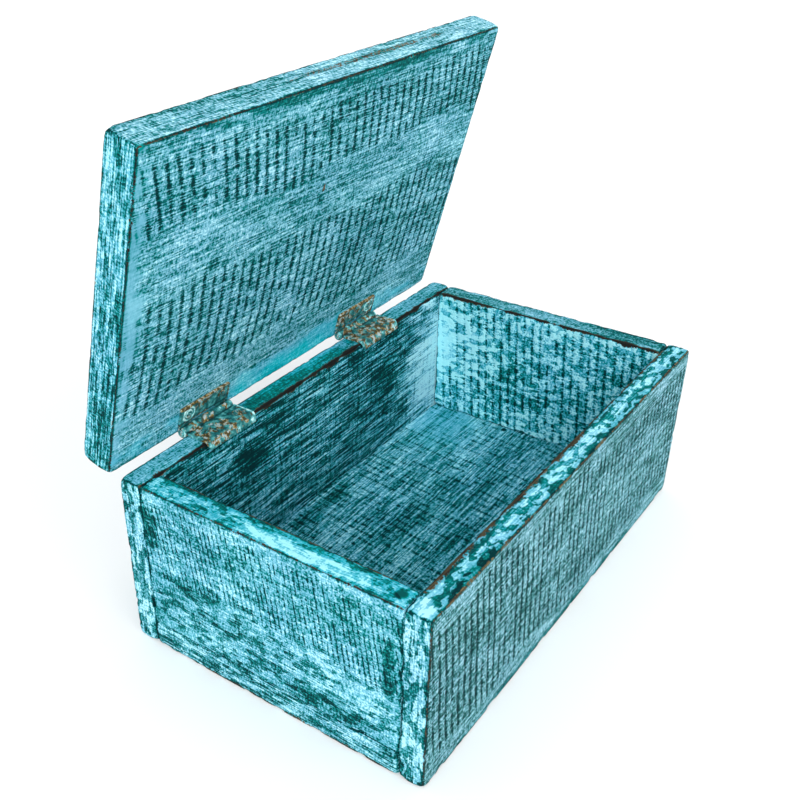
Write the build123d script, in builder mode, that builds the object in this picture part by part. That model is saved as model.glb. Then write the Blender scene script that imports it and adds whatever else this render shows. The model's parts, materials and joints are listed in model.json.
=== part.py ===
from build123d import *
import math
import os

# Hinged wooden chest, millimetres. The origin is the centre of the chest's bottom face:
# +X runs along the chest, -Y is the front, +Y is the hinged rear, +Z is up.

# Chest boards
chest_length = 254.0
chest_depth = 154.0
chest_height = 86.5
long_board_thickness = 11.7
end_board_thickness = 12.4
bottom_thickness = 12.8
edge_round = 0.8

# Lid, described closed and modelled standing open
lid_length = 252.0
lid_depth = 151.5
lid_thickness = 16.0
lid_side_shift = -1.2
lid_rear_overhang = 4.8
lid_gap = 3.0
open_angle = 75.0

# Hinge axis, behind the rear face and above the rim
axis_behind = 2.9
axis_above = 0.2

# Hinges: two butt hinges, each of two leaves and a loose pin
hinge_centres = {"left": -69.0, "right": 51.5}
hinge_length = 33.0
leaf_thickness = 1.1
knuckle_radius = 2.4
knuckle_clearance = 0.35
outer_knuckle = 8.2
knuckle_gap = 0.35
chest_leaf_reach = 16.9
chest_leaf_lip = 2.1
chest_leaf_lip_drop = 3.4
lid_leaf_reach = 12.4
leaf_corner = 1.5
pin_radius = 1.1
pin_running_clearance = 0.06
pin_head_radius = 1.7
pin_head_thickness = 0.6

# Hinge screws, raised slotted heads
screw_spacing = 22.0
screw_shank_radius = 1.3
screw_head_radius = screw_shank_radius + leaf_thickness
screw_head_rise = 0.4
screw_crown_radius = 1.6
screw_length = 9.5
screw_tip_length = 2.5
screw_slot_width = 0.6
screw_slot_depth = 0.5
screw_sink_angle = 90.0
chest_screw_reach = 9.3
lid_screw_reach = 7.7

# Wire nails that hold the boards
nail_radius = 0.9
nail_head_radius = 1.6
nail_head_thickness = 0.9
nail_length = 32.0
corner_nail_heights = (26.0, 48.0, 70.0)
bottom_nail_places = (-90.0, -30.0, 30.0, 90.0)

# Worked out from the sizes above
inner_depth = chest_depth - 2 * long_board_thickness
end_board_height = chest_height - bottom_thickness
corner_nail_x = chest_length / 2 - end_board_thickness / 2
axis_y = chest_depth / 2 + axis_behind
axis_z = chest_height + axis_above
lean = math.radians(open_angle)
chest_leaf_floor = -axis_above
chest_leaf_top = chest_leaf_floor + leaf_thickness
lid_face = lid_gap - axis_above
lid_leaf_under = lid_face - leaf_thickness
plate_rear = -knuckle_radius - knuckle_clearance

# Frames through the hinge axis: local Y runs towards the rear and local Z away from the rim
chest_frame = Plane(origin=(0, axis_y, axis_z), x_dir=(1, 0, 0), z_dir=(0, 0, 1))
lid_frame = Plane(
    origin=(0, axis_y, axis_z),
    x_dir=(1, 0, 0),
    z_dir=(0, math.sin(lean), math.cos(lean)),
)

os.makedirs("parts", exist_ok=True)


# Label one finished piece and write its STEP file
def save(piece, name):
    piece.part.label = name
    export_step(piece.part, f"parts/{name}.step")


# Planes on a long board's outer face, side -1 for the front and +1 for the rear
def nail_planes(places, side):
    face = side * chest_depth / 2
    return [Plane(origin=(x, face, z), x_dir=(1, 0, 0), z_dir=(0, side, 0)) for x, z in places]


# Nail places at one end of a long board, end -1 for the left and +1 for the right
def corner_places(end):
    return [(end * corner_nail_x, height) for height in corner_nail_heights]


bottom_places = [(x, bottom_thickness / 2) for x in bottom_nail_places]


# Places of one leaf's two screws on the face that the leaf lies on, facing out of the wood
def screw_planes(frame, hinge_x, height, reach, outward):
    planes = []
    for step in (-0.5, 0.5):
        origin = frame.from_local_coords((hinge_x + step * screw_spacing, -reach, height))
        planes.append(Plane(origin=origin, x_dir=(1, 0, 0), z_dir=frame.z_dir * outward))
    return planes


# Long boards: full length and full height, nailed to the ends and the bottom
def long_board(side):
    centre = side * (chest_depth - long_board_thickness) / 2
    with BuildPart() as board:
        with BuildSketch(Plane.XY):
            with Locations((0, centre)):
                Rectangle(chest_length, long_board_thickness)
        extrude(amount=chest_height)
        fillet(board.edges(), edge_round)
        places = corner_places(-1) + corner_places(1) + bottom_places
        with Locations(*nail_planes(places, side)):
            CounterBoreHole(nail_radius, nail_head_radius, nail_head_thickness)
        if side > 0:
            for x in hinge_centres.values():
                with Locations(*screw_planes(chest_frame, x, chest_leaf_floor, chest_screw_reach, 1)):
                    Hole(screw_shank_radius, depth=screw_length)
    return board


# End boards: between the long boards, standing on the bottom board
def end_board(end):
    centre = end * (chest_length - end_board_thickness) / 2
    with BuildPart() as board:
        with BuildSketch(Plane.XY.offset(bottom_thickness)):
            with Locations((centre, 0)):
                Rectangle(end_board_thickness, inner_depth)
        extrude(amount=end_board_height)
        fillet(board.edges(), edge_round)
        for side in (-1, 1):
            planes = [plane.offset(-long_board_thickness) for plane in nail_planes(corner_places(end), side)]
            with Locations(*planes):
                Hole(nail_radius, depth=nail_length - long_board_thickness)
    return board


front_board = long_board(-1)
rear_board = long_board(1)
left_end_board = end_board(-1)
right_end_board = end_board(1)
save(front_board, "front_board")
save(rear_board, "rear_board")
save(left_end_board, "left_end_board")
save(right_end_board, "right_end_board")


# Bottom board: between the long boards, with its end grain showing at both ends
with BuildPart() as bottom_board:
    with BuildSketch(Plane.XY):
        Rectangle(chest_length, inner_depth)
    extrude(amount=bottom_thickness)
    fillet(bottom_board.edges(), edge_round)
    for side in (-1, 1):
        planes = [plane.offset(-long_board_thickness) for plane in nail_planes(bottom_places, side)]
        with Locations(*planes):
            Hole(nail_radius, depth=nail_length - long_board_thickness)
save(bottom_board, "bottom_board")


# Lid: one thick panel, standing open on the hinge axis
with BuildPart() as lid_board:
    lid_rear = lid_rear_overhang - axis_behind
    with BuildSketch(lid_frame.offset(lid_face)):
        with Locations((lid_side_shift, lid_rear - lid_depth / 2)):
            Rectangle(lid_length, lid_depth)
    extrude(amount=lid_thickness)
    fillet(lid_board.edges(), edge_round)
    for hinge_x in hinge_centres.values():
        with Locations(*screw_planes(lid_frame, hinge_x, lid_face, lid_screw_reach, -1)):
            Hole(screw_shank_radius, depth=screw_length)
save(lid_board, "lid_board")


# One nail for each place, head flush with the board's outer face
def nails(places, side):
    planes = nail_planes(places, side)
    with BuildPart() as group:
        with BuildSketch(*planes):
            Circle(nail_head_radius)
        extrude(amount=-nail_head_thickness)
        with BuildSketch(*[plane.offset(-nail_head_thickness) for plane in planes]):
            Circle(nail_radius)
        extrude(amount=nail_head_thickness - nail_length)
    return group


for side_name, side in (("front", -1), ("rear", 1)):
    save(nails(corner_places(-1), side), f"{side_name}_left_corner_nails")
    save(nails(corner_places(1), side), f"{side_name}_right_corner_nails")
    save(nails(bottom_places, side), f"{side_name}_bottom_nails")


# Profile plane of a leaf: local X runs towards the rear, local Y away from the rim, Z along the pin
def profile_plane(frame, x):
    origin = frame.from_local_coords((x, 0, 0))
    return Plane(origin=origin, x_dir=frame.y_dir, z_dir=frame.x_dir)


# Spans along X of a hinge's knuckles: the chest leaf has the centre one, the lid leaf the outer two
def centre_span(hinge_x):
    half = hinge_length / 2 - outer_knuckle - knuckle_gap
    return [(hinge_x - half, hinge_x + half)]


def outer_spans(hinge_x):
    half = hinge_length / 2
    return [
        (hinge_x - half, hinge_x - half + outer_knuckle),
        (hinge_x + half - outer_knuckle, hinge_x + half),
    ]


# True for the two short edges at the free corners of a leaf
def is_free_corner(edge, frame, reach):
    middle = frame.to_local_coords(edge.center())
    return middle.Y < leaf_thickness - reach and edge.length < 2 * leaf_thickness


# A leaf: a plate with rounded free corners, its knuckles, the webs that join them, and two screw seats
def leaf(frame, hinge_x, outline, reach, spans, bore_radius, seats):
    web_low = min(height for place, height in outline if place == plate_rear)
    with BuildPart() as piece:
        with BuildSketch(profile_plane(frame, hinge_x - hinge_length / 2)):
            with BuildLine():
                Polyline(*outline, close=True)
            make_face()
        extrude(amount=hinge_length)
        fillet(piece.edges().filter_by(lambda edge: is_free_corner(edge, frame, reach)), leaf_corner)
        for start, stop in spans:
            with BuildSketch(profile_plane(frame, start)):
                Circle(knuckle_radius)
                with Locations((plate_rear, web_low)):
                    Rectangle(-plate_rear, leaf_thickness, align=(Align.MIN, Align.MIN))
            extrude(amount=stop - start)
            with BuildSketch(profile_plane(frame, start)):
                Circle(bore_radius)
            extrude(amount=stop - start, mode=Mode.SUBTRACT)
        with Locations(*seats):
            CounterSinkHole(
                screw_shank_radius,
                screw_head_radius,
                depth=leaf_thickness + screw_shank_radius,
                counter_sink_angle=screw_sink_angle,
            )
    return piece


# The chest leaf lies on the rim, and its free edge is turned down over the rim's inner arris
chest_leaf_bend = chest_leaf_lip - chest_leaf_reach
chest_leaf_outline = [
    (plate_rear, chest_leaf_floor),
    (chest_leaf_bend, chest_leaf_floor),
    (leaf_thickness - chest_leaf_reach, chest_leaf_floor - chest_leaf_lip_drop),
    (-chest_leaf_reach, chest_leaf_floor - chest_leaf_lip_drop),
    (chest_leaf_bend - leaf_thickness / 2, chest_leaf_top),
    (plate_rear, chest_leaf_top),
]

# The lid leaf lies flat on the lid's inner face
lid_leaf_outline = [
    (plate_rear, lid_leaf_under),
    (plate_rear, lid_face),
    (-lid_leaf_reach, lid_face),
    (-lid_leaf_reach, lid_leaf_under),
]


# Screws with raised slotted heads, one in each seat
def screws(seats):
    with BuildPart() as group:
        for seat in seats:
            with BuildSketch(Plane(origin=seat.origin, x_dir=seat.x_dir, z_dir=-seat.y_dir)):
                with BuildLine():
                    Polyline(
                        (0, screw_head_rise),
                        (0, -screw_length),
                        (screw_shank_radius, screw_tip_length - screw_length),
                        (screw_shank_radius, screw_shank_radius - screw_head_radius),
                        (screw_head_radius, 0),
                        (screw_crown_radius, screw_head_rise),
                        close=True,
                    )
                make_face()
            revolve(axis=Axis(seat.origin, seat.z_dir))
            with BuildSketch(seat.offset(screw_head_rise)):
                Rectangle(2 * screw_head_radius, screw_slot_width)
            extrude(amount=-screw_slot_depth, mode=Mode.SUBTRACT)
    return group


# Pin: tight in the chest leaf's knuckle, running free in the lid leaf's, with a head at each end
def hinge_pin(hinge_x):
    reach = hinge_length / 2 + pin_running_clearance
    with BuildPart() as pin:
        with BuildSketch(profile_plane(chest_frame, hinge_x - reach - pin_head_thickness)):
            Circle(pin_head_radius)
        extrude(amount=pin_head_thickness)
        with BuildSketch(profile_plane(chest_frame, hinge_x - reach)):
            Circle(pin_radius)
        extrude(amount=2 * reach)
        with BuildSketch(profile_plane(chest_frame, hinge_x + reach)):
            Circle(pin_head_radius)
        extrude(amount=pin_head_thickness)
    return pin


for side_name, hinge_x in hinge_centres.items():
    chest_seats = screw_planes(chest_frame, hinge_x, chest_leaf_top, chest_screw_reach, 1)
    lid_seats = screw_planes(lid_frame, hinge_x, lid_leaf_under, lid_screw_reach, -1)
    chest_leaf = leaf(
        chest_frame,
        hinge_x,
        chest_leaf_outline,
        chest_leaf_reach,
        centre_span(hinge_x),
        pin_radius,
        chest_seats,
    )
    lid_leaf = leaf(
        lid_frame,
        hinge_x,
        lid_leaf_outline,
        lid_leaf_reach,
        outer_spans(hinge_x),
        pin_radius + pin_running_clearance,
        lid_seats,
    )
    save(chest_leaf, f"{side_name}_hinge_chest_leaf")
    save(lid_leaf, f"{side_name}_hinge_lid_leaf")
    save(hinge_pin(hinge_x), f"{side_name}_hinge_pin")
    save(screws(chest_seats), f"{side_name}_chest_leaf_screws")
    save(screws(lid_seats), f"{side_name}_lid_leaf_screws")
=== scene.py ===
import itertools
import json
import math
import bmesh
import bpy
import numpy as np
from mathutils import Matrix, Vector


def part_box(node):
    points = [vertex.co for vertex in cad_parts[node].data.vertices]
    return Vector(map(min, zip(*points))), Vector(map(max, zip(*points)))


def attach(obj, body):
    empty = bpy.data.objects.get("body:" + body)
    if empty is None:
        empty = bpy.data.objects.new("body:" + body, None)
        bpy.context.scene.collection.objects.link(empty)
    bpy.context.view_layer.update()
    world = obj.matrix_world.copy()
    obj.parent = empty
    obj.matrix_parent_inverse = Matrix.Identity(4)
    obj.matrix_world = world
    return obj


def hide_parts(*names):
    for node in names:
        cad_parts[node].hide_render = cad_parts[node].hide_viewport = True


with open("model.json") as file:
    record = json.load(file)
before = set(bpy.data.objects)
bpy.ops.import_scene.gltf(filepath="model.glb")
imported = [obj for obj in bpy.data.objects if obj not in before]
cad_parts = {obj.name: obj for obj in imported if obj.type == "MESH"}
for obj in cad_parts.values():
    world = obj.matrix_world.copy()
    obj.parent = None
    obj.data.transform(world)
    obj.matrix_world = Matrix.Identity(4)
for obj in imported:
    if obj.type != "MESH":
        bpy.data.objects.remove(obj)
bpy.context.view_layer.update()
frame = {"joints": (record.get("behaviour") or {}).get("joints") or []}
mm = 0.001
faceAxes = {"x": 0, "y": 1, "z": 2}
hinge = frame["joints"][0]
hingeAt = Vector(hinge["pos_m"])


cameraSetup = {
    "place": (-0.36368, -0.20854, 0.32886),
    "turn": (58.229, 0.651, -53.696),  # degrees
    "lens": 46.34,
    "shift": (0.0927, 0.0459),
}
lightSetup = {
    "world": (0.97, 0.99, 1.0),
    "worldStrength": 0.55,
    "key": {"from": (-1.0, -0.5, 0.8), "softness": 35, "power": 2.3, "colour": (1.0, 1.0, 0.99)},
    "fill": {"from": (-0.1, -1.0, 0.35), "softness": 60, "power": 1.3, "colour": (0.98, 0.99, 1.0)},
    "top": {"from": (0.1, 0.2, 1.0), "softness": 60, "power": 0.5, "colour": (1.0, 1.0, 1.0)},
}


def addObject(name, data):
    made = bpy.data.objects.new(name, data)
    bpy.context.scene.collection.objects.link(made)
    return made


def setCamera(values):
    data = bpy.data.cameras.new("camera")
    data.lens = values["lens"]
    data.sensor_width = 36.0
    data.shift_x, data.shift_y = values["shift"]
    data.clip_start, data.clip_end = 0.01, 20.0
    camera = addObject("camera", data)
    camera.location = values["place"]
    camera.rotation_euler = [math.radians(a) for a in values["turn"]]
    bpy.context.scene.camera = camera


def addSoftLight(name, values):
    data = bpy.data.lights.new(name, "SUN")
    data.angle = math.radians(values["softness"])
    data.energy = values["power"]
    data.color = values["colour"]
    light = addObject(name, data)
    light.location = values["from"]
    light.rotation_euler = Vector(values["from"]).to_track_quat("Z", "Y").to_euler()


def setLights(values):
    world = bpy.data.worlds.new("studio")
    world.use_nodes = True
    sky = world.node_tree.nodes["Background"]
    sky.inputs["Color"].default_value = (*values["world"], 1)
    sky.inputs["Strength"].default_value = values["worldStrength"]
    bpy.context.scene.world = world
    for name in ("key", "fill", "top"):
        addSoftLight(name, values[name])


setCamera(cameraSetup)
setLights(lightSetup)
bpy.context.scene.view_settings.view_transform = "Standard"
print("camera and lights set")


def addNode(tree, kind, inputs=None, **settings):
    made = tree.nodes.new(kind)
    made.location = (len(tree.nodes) % 8 * 190, -(len(tree.nodes) // 8) * 260)
    for name, value in settings.items():
        setattr(made, name, value)
    for name, value in (inputs or {}).items():
        if isinstance(value, bpy.types.NodeSocket):
            tree.links.new(value, made.inputs[name])
        else:
            made.inputs[name].default_value = value
    return made


def calc(tree, operation, a, b=0.0, c=0.5):
    return addNode(tree, "ShaderNodeMath", {0: a, 1: b, 2: c}, operation=operation).outputs[0]


def scaled(tree, value, factor, start):
    return calc(tree, "MULTIPLY_ADD", value, factor, start)


def softMask(tree, value, low, high):
    settings = {"Value": value, "From Min": low, "From Max": high}
    return addNode(tree, "ShaderNodeMapRange", settings, interpolation_type="SMOOTHSTEP").outputs[0]


def blendColour(tree, factor, a, b):
    made = addNode(tree, "ShaderNodeMix", data_type="RGBA")
    for socket, value in ((made.inputs[0], factor), (made.inputs[6], a), (made.inputs[7], b)):
        if isinstance(value, bpy.types.NodeSocket):
            tree.links.new(value, socket)
        else:
            socket.default_value = value if isinstance(value, float) else (*value, 1)
    return made.outputs[2]


# Material without nodes yet, and its node tree
def emptyMaterial(name):
    material = bpy.data.materials.new(name)
    material.use_nodes = True
    material.node_tree.nodes.clear()
    return material, material.node_tree


# Colour ramp through stops given as place, red, green and blue
def colourRamp(tree, value, shades):
    ramp = addNode(tree, "ShaderNodeValToRGB", {"Fac": value})
    stops = ramp.color_ramp.elements
    while len(stops) < len(shades):
        stops.new(0.5)
    for stop, (place, *shade) in zip(stops, shades):
        stop.position = place
        stop.color = (*paint(*shade), 1)
    return ramp.outputs["Color"]


# Shader of a finished surface: its own sockets hold what is the same all over
def addSurface(tree, values, colour, rough, height):
    settings = {"Strength": values["bump"], "Distance": values["bumpDepth"], "Height": height}
    bump = addNode(tree, "ShaderNodeBump", settings).outputs[0]
    settings = {"Base Color": colour, "Roughness": rough, "Normal": bump}
    shader = addNode(tree, "ShaderNodeBsdfPrincipled", settings)
    shader.inputs["Specular IOR Level"].default_value = values["gloss"]
    addNode(tree, "ShaderNodeOutputMaterial", {"Surface": shader.outputs[0]})


def noiseField(tree, vector, scale, detail=2.0, roughness=0.5):
    settings = {"Vector": vector, "Scale": scale, "Detail": detail, "Roughness": roughness}
    return addNode(tree, "ShaderNodeTexNoise", settings).outputs["Fac"]


def attributeValue(tree, name):
    return addNode(tree, "ShaderNodeAttribute", attribute_name=name).outputs["Fac"]


# Node group with number inputs, or vector inputs where the default is None, and number outputs
def newGroup(name, inputs, outputs):
    group = bpy.data.node_groups.new(name, "ShaderNodeTree")
    for title, default in inputs.items():
        kind = "NodeSocketVector" if default is None else "NodeSocketFloat"
        socket = group.interface.new_socket(title, in_out="INPUT", socket_type=kind)
        if default is not None:
            socket.default_value = default
    for title in outputs:
        group.interface.new_socket(title, in_out="OUTPUT", socket_type="NodeSocketFloat")
    return group, addNode(group, "NodeGroupInput").outputs, addNode(group, "NodeGroupOutput").inputs


def placeGroup(tree, group, inputs):
    return addNode(tree, "ShaderNodeGroup", inputs, node_tree=group).outputs


# Linear values of a colour given as 0-255 screen values
def paint(red, green, blue):
    shades = [value / 255 for value in (red, green, blue)]
    return tuple(s / 12.92 if s <= 0.04045 else ((s + 0.055) / 1.055) ** 2.4 for s in shades)


# Noise drawn out along the grain: cells of the given length and width, in metres
def makeGrainGroup():
    inputs = {"Vector": None, "Length": 0.012, "Width": 0.0009, "Detail": 2.0}
    group, given, out = newGroup("grainStreaks", inputs, ["Streaks"])
    alongScale = calc(group, "DIVIDE", 1.0, given["Length"])
    acrossScale = calc(group, "DIVIDE", 1.0, given["Width"])
    scale = addNode(group, "ShaderNodeCombineXYZ", {0: alongScale, 1: acrossScale, 2: acrossScale})
    parts = {0: given["Vector"], 1: scale.outputs[0]}
    spread = addNode(group, "ShaderNodeVectorMath", parts, operation="MULTIPLY")
    streaks = noiseField(group, spread.outputs[0], 1.0, given["Detail"])
    group.links.new(softMask(group, streaks, 0.34, 0.66), out["Streaks"])
    return group


# Saw kerfs across the grain, from a phase that counts them along the board, broken into dashes
def makeKerfGroup():
    inputs = {"Vector": None, "Phase": 0.0, "Depth": 1.0, "Sharpness": 3.0, "Break Length": 0.004}
    group, given, out = newGroup("sawKerfs", inputs, ["Kerf"])
    wave = calc(group, "COSINE", calc(group, "MULTIPLY", given["Phase"], 2 * math.pi))
    trough = calc(group, "POWER", scaled(group, wave, 0.5, 0.5), given["Sharpness"])
    number = calc(group, "MULTIPLY", calc(group, "ROUND", given["Phase"]), 3.7)
    place = addNode(group, "ShaderNodeSeparateXYZ", {0: given["Vector"]}).outputs
    across = [calc(group, "DIVIDE", place[axis], given["Break Length"]) for axis in ("Y", "Z")]
    cell = addNode(group, "ShaderNodeCombineXYZ", {0: number, 1: across[0], 2: across[1]}).outputs[0]
    kept = softMask(group, noiseField(group, cell, 1.0, 2.0, 0.6), 0.34, 0.42)
    kerf = calc(group, "MULTIPLY", calc(group, "MULTIPLY", trough, kept), given["Depth"])
    group.links.new(kerf, out["Kerf"])
    return group


# Dry brushing: the light coat catches on what stands high and misses what lies low
def makeDryBrushGroup():
    inputs = {
        "Relief": 1.0, "Kerf": 0.0, "Coat": 0.0, "Calm": 0.0, "Long Streaks": 0.5,
        "Cross Streaks": 0.5, "Speckle": 0.5, "Relief Weight": 0.5, "Kerf Weight": 0.7,
        "Long Weight": 0.3, "Cross Weight": 0.3, "Speckle Weight": 0.2,
    }
    group, given, out = newGroup("dryBrush", inputs, ["Height", "Tone"])

    def weighed(name):
        centred = calc(group, "SUBTRACT", given[name], 0.5)
        return calc(group, "MULTIPLY", centred, given[name.split()[0] + " Weight"])

    rough = calc(group, "ADD", weighed("Long Streaks"), weighed("Cross Streaks"))
    rough = calc(group, "ADD", rough, weighed("Speckle"))
    rough = calc(group, "MULTIPLY", rough, calc(group, "SUBTRACT", 1.0, given["Calm"]))
    cutAway = calc(group, "SUBTRACT", given["Relief"], 1.0)
    worn = calc(group, "MULTIPLY", cutAway, given["Relief Weight"])
    bridged = scaled(group, given["Long Streaks"], -0.75, 1.15)  # strokes fill some kerfs
    sawn = calc(group, "MULTIPLY", given["Kerf"], given["Kerf Weight"])
    sawn = calc(group, "MULTIPLY", sawn, bridged)
    middle = 0.62  # tone of a flat, evenly brushed place
    height = calc(group, "ADD", calc(group, "SUBTRACT", worn, sawn), calc(group, "ADD", rough, middle))
    group.links.new(height, out["Height"])
    group.links.new(calc(group, "ADD", height, given["Coat"]), out["Tone"])
    return group


# Bare wood or metal where the paint has gone, with a broken outline
def makeWearGroup():
    inputs = {"Wear": 0.0, "Breakup": 0.5, "Softness": 0.12}
    group, given, out = newGroup("wornPaint", inputs, ["Bare"])
    broken = calc(group, "MULTIPLY", calc(group, "SUBTRACT", given["Breakup"], 0.5), 0.7)
    level = calc(group, "ADD", given["Wear"], broken)
    top = calc(group, "ADD", 0.5, given["Softness"])
    low = calc(group, "SUBTRACT", 0.5, given["Softness"])
    group.links.new(softMask(group, level, low, top), out["Bare"])
    return group


grainGroup = makeGrainGroup()
kerfGroup = makeKerfGroup()
dryBrushGroup = makeDryBrushGroup()
wearGroup = makeWearGroup()


woodPaint = {
    "ramp": [
        (0.00, 0, 48, 52), (0.20, 0, 82, 84), (0.36, 0, 110, 108), (0.44, 14, 132, 132),
        (0.51, 84, 156, 174), (0.68, 116, 180, 202), (0.86, 144, 204, 224), (1.00, 186, 238, 248),
    ],
    "ochre": paint(116, 106, 78),
    "brown": paint(60, 48, 40),
    # near-black along edges: dark wear, and on some edges painted shade
    "char": paint(22, 24, 26),
    "longCell": (0.013, 0.00065),  # metres along and across the grain
    "crossCell": (0.0009, 0.0026),
    "chipCell": (0.006, 0.0032),
    "speckleScale": 1000.0,
    "wanderScale": 330.0,
    "patchScale": 38.0,
    "longWeight": 0.42,
    "weights": {
        "Relief Weight": 0.35,
        "Kerf Weight": 0.85,
        "Cross Weight": 0.2,
        "Speckle Weight": 0.34,
    },
    "kerfSharpness": 4.0,
    "kerfWander": 0.22,
    "hue": 0.482,         # 0.5 leaves the ramp's colours as they are
    "hueSpread": 0.03,
    "greener": -0.045,    # change of hue where fresh is above 1
    "palest": 0.8,        # saturation where fresh is 0
    "freshness": 0.4,
    "roughness": 0.95,
    "gloss": 0.08,
    "bump": 0.8,
    "bumpDepth": 0.0006,
}


def makePaintedWood(name, turn, values):
    material, tree = emptyMaterial(name)
    coords = addNode(tree, "ShaderNodeTexCoord").outputs["Object"]
    turned = addNode(tree, "ShaderNodeMapping", {"Vector": coords, "Rotation": turn}).outputs[0]

    def streaks(cell, detail):
        settings = {"Vector": turned, "Length": cell[0], "Width": cell[1], "Detail": detail}
        return placeGroup(tree, grainGroup, settings)["Streaks"]

    def field(name):
        return attributeValue(tree, name)

    longStreaks = streaks(values["longCell"], 2.0)
    speckle = softMask(tree, noiseField(tree, turned, values["speckleScale"]), 0.38, 0.62)
    wander = calc(tree, "SUBTRACT", noiseField(tree, turned, values["wanderScale"]), 0.5)
    settings = {
        "Vector": turned,
        "Phase": scaled(tree, wander, values["kerfWander"], field("phase")),
        "Depth": field("saw"),
        "Sharpness": values["kerfSharpness"],
        "Break Length": field("dash"),
    }
    kerf = placeGroup(tree, kerfGroup, settings)["Kerf"]
    chips = softMask(tree, streaks(values["chipCell"], 5.0), 0.44, 0.56)
    chips = calc(tree, "MULTIPLY", calc(tree, "SUBTRACT", chips, 0.5), field("chips"))
    settings = {
        "Relief": field("relief"),
        "Kerf": kerf,
        "Coat": calc(tree, "ADD", field("coat"), chips),
        "Calm": field("calm"),
        "Long Streaks": longStreaks,
        "Cross Streaks": streaks(values["crossCell"], 1.0),
        "Speckle": speckle,
        "Long Weight": calc(tree, "MULTIPLY", field("strokes"), values["longWeight"]),
        **values["weights"],
    }
    brush = placeGroup(tree, dryBrushGroup, settings)
    bare = placeGroup(tree, wearGroup, {"Wear": field("bare"), "Breakup": speckle})["Bare"]
    coats = colourRamp(tree, brush["Tone"], values["ramp"])
    patches = noiseField(tree, turned, values["patchScale"])
    hue = scaled(tree, patches, values["hueSpread"], values["hue"])
    greener = calc(tree, "MAXIMUM", calc(tree, "SUBTRACT", field("fresh"), 1.0), 0.0)
    hue = scaled(tree, greener, values["greener"], hue)
    fresh = scaled(tree, field("fresh"), values["freshness"], values["palest"])
    settings = {"Hue": hue, "Saturation": fresh, "Color": coats}
    colour = addNode(tree, "ShaderNodeHueSaturation", settings).outputs[0]
    wood = blendColour(tree, longStreaks, values["brown"], values["ochre"])
    # bare wood turns near-black by this amount: dark wear, and painted shade on some edges
    wood = blendColour(tree, field("char"), wood, values["char"])
    colour = blendColour(tree, bare, colour, wood)
    rough = scaled(tree, brush["Tone"], -0.2, values["roughness"])
    height = scaled(tree, bare, -0.4, brush["Height"])
    addSurface(tree, values, colour, rough, height)
    return material


longWood = makePaintedWood("longWood", (0, 0, 0), woodPaint)
crossWood = makePaintedWood("crossWood", (0, 0, math.pi / 2), woodPaint)
uprightWood = makePaintedWood("uprightWood", (0, math.pi / 2, 0), woodPaint)
print("wood materials made")


# Repeatable random number from 0 to 1 for each whole-numbered cell
def hashCells(cells, seed):
    along, across, through = cells.T
    mixed = along * 73856093 ^ across * 19349663 ^ through * 83492791 ^ (seed * 374761393)
    mixed = (mixed ^ (mixed >> 13)) * 1274126177
    return ((mixed ^ (mixed >> 16)) & 0xFFFF) / 65535.0


# Smooth noise from 0 to 1 over cells of the given size in mm
def cellNoise(points, cell, seed):
    scaled = points / (np.array(cell) * mm)
    base = np.floor(scaled).astype(np.int64)
    share = scaled - base
    share = share * share * (3 - 2 * share)
    total = np.zeros(len(points))
    for corner in itertools.product((0, 1), repeat=3):
        weight = np.prod(np.where(corner, share, 1 - share), axis=1)
        total += weight * hashCells(base + np.array(corner), seed)
    return total


def smooth(value, low, high):
    share = np.clip((value - low) / (high - low), 0, 1)
    return share * share * (3 - 2 * share)


# Smooth window: 1 between start and stop, fading over soft outside them
def window(value, start, stop, soft):
    return smooth(value, start - soft, start + soft) * smooth(-value, -stop - soft, soft - stop)


# Grid lines across a board, closer together near its edges
def axisLines(low, high, step):
    near = np.array([0, 0.22, 0.5, 0.85, 1.3]) * mm
    inset = 1.9 * mm
    count = max(2, round((high - low - 2 * inset) / step))
    middle = np.linspace(low + inset, high - inset, count + 1)
    return np.concatenate([low + near, middle, (high - near)[::-1]])


# Closed box of quads on the given grid lines
def boxShell(lines):
    skin = np.zeros([len(line) for line in lines], bool)
    skin[[0, -1]] = True
    skin[:, [0, -1]] = True
    skin[:, :, [0, -1]] = True
    ids = np.full(skin.shape, -1)
    ids[skin] = np.arange(skin.sum())
    points = np.stack(np.meshgrid(*lines, indexing="ij"), -1)[skin]
    quads = []
    for axis, side in itertools.product(range(3), (0, -1)):
        sheet = np.take(ids, side, axis=axis)
        ring = [sheet[:-1, :-1], sheet[1:, :-1], sheet[1:, 1:], sheet[:-1, 1:]]
        quad = np.stack(ring, -1).reshape(-1, 4)
        quads.append(quad[:, ::-1] if (axis == 1) != (side == 0) else quad)
    return points, np.concatenate(quads)


# Moves the points of a box shell onto the same box with rounded edges
def roundBox(points, low, high, radius):
    inner = np.clip(points, low + radius, high - radius)
    offset = points - inner
    normal = offset / np.linalg.norm(offset, axis=1)[:, None]
    return inner + normal * radius, normal


def meshObject(name, points, faces, fields=None, smoothShade=True):
    mesh = bpy.data.meshes.new(name)
    mesh.from_pydata([tuple(p) for p in points], [], [tuple(map(int, f)) for f in faces])
    for title, values in (fields or {}).items():
        attribute = mesh.attributes.new(title, "FLOAT", "POINT")
        attribute.data.foreach_set("value", np.asarray(values, np.float32))
    mesh.polygons.foreach_set("use_smooth", np.full(len(mesh.polygons), smoothShade))
    mesh.update()
    return addObject(name, mesh)


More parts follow.
